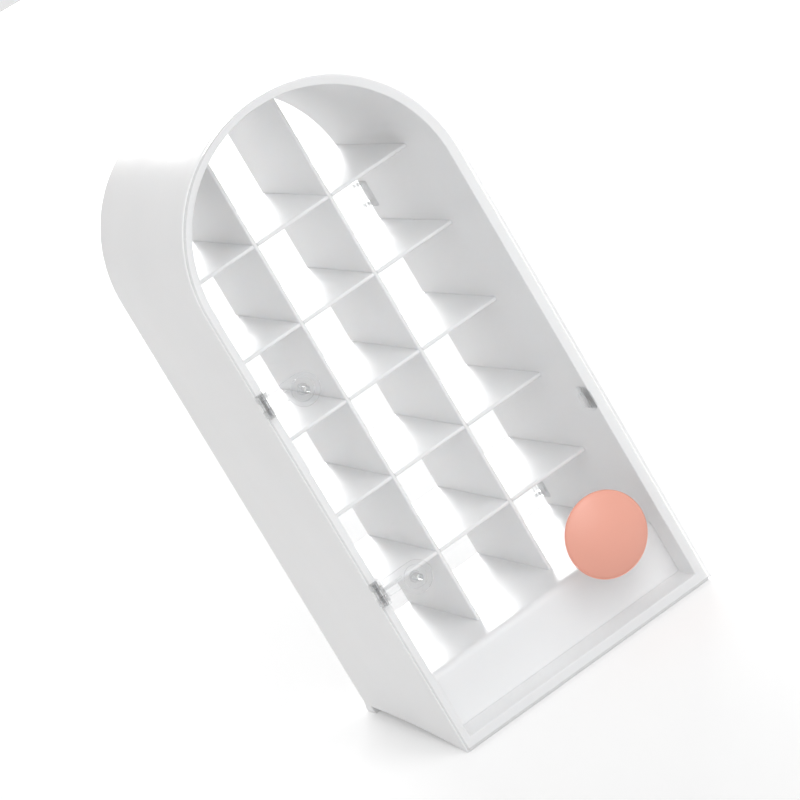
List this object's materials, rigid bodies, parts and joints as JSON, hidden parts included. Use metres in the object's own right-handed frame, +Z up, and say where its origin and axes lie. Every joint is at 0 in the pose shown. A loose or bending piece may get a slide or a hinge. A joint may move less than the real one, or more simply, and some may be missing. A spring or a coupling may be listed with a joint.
{
  "type": "lipstick storage box",
  "caption": "Upright lipstick box with a round top, open cells in a grid of thin panels, a raised floor and a clear hinged front door with a round knob.",
  "frame": {"origin": "on the floor, under the middle of the closed box with its knob", "axes": "+Z up, -Y out of the front door, +X to the right seen from the front"},
  "size_m": [0.0936, 0.1014, 0.2025],
  "materials": {
    "shell_white": "satin moulded white",
    "plinth_white": "satin moulded white",
    "panel_white": "satin moulded white",
    "clear_sheet": "clear polished",
    "clear_fitting": "clear moulded",
    "coral_knob": "satin coral",
    "screw_steel": "plated"
  },
  "bodies": {
    "box": {"body_shell": "shell_white", "plinth": "plinth_white", "divider_left": "panel_white", "divider_right": "panel_white", "shelf_1": "panel_white", "shelf_2": "panel_white", "shelf_3": "panel_white", "shelf_4": "panel_white", "shelf_5": "panel_white", "upper_hinge_body_leaf": "clear_fitting", "upper_hinge_pin": "clear_fitting", "lower_hinge_body_leaf": "clear_fitting", "lower_hinge_pin": "clear_fitting", "catch_keeper": "clear_fitting", "upper_rear_clip": "clear_fitting", "upper_rear_clip_pin": "clear_fitting", "lower_rear_clip": "clear_fitting", "lower_rear_clip_pin": "clear_fitting"},
    "door": {"door_panel": "clear_sheet", "knob": "coral_knob", "knob_screw": "screw_steel", "door_catch": "clear_fitting", "upper_hinge_door_leaf": "clear_fitting", "upper_hinge_rivet": "clear_fitting", "lower_hinge_door_leaf": "clear_fitting", "lower_hinge_rivet": "clear_fitting"}
  },
  "joints": [
    {"name": "door_swing", "type": "hinge", "parent": "box", "child": "door", "pos_m": [-0.0456, -0.04526, 0.0906], "axis": [0, 0, -1], "range_deg": [0, 180]}
  ]
}
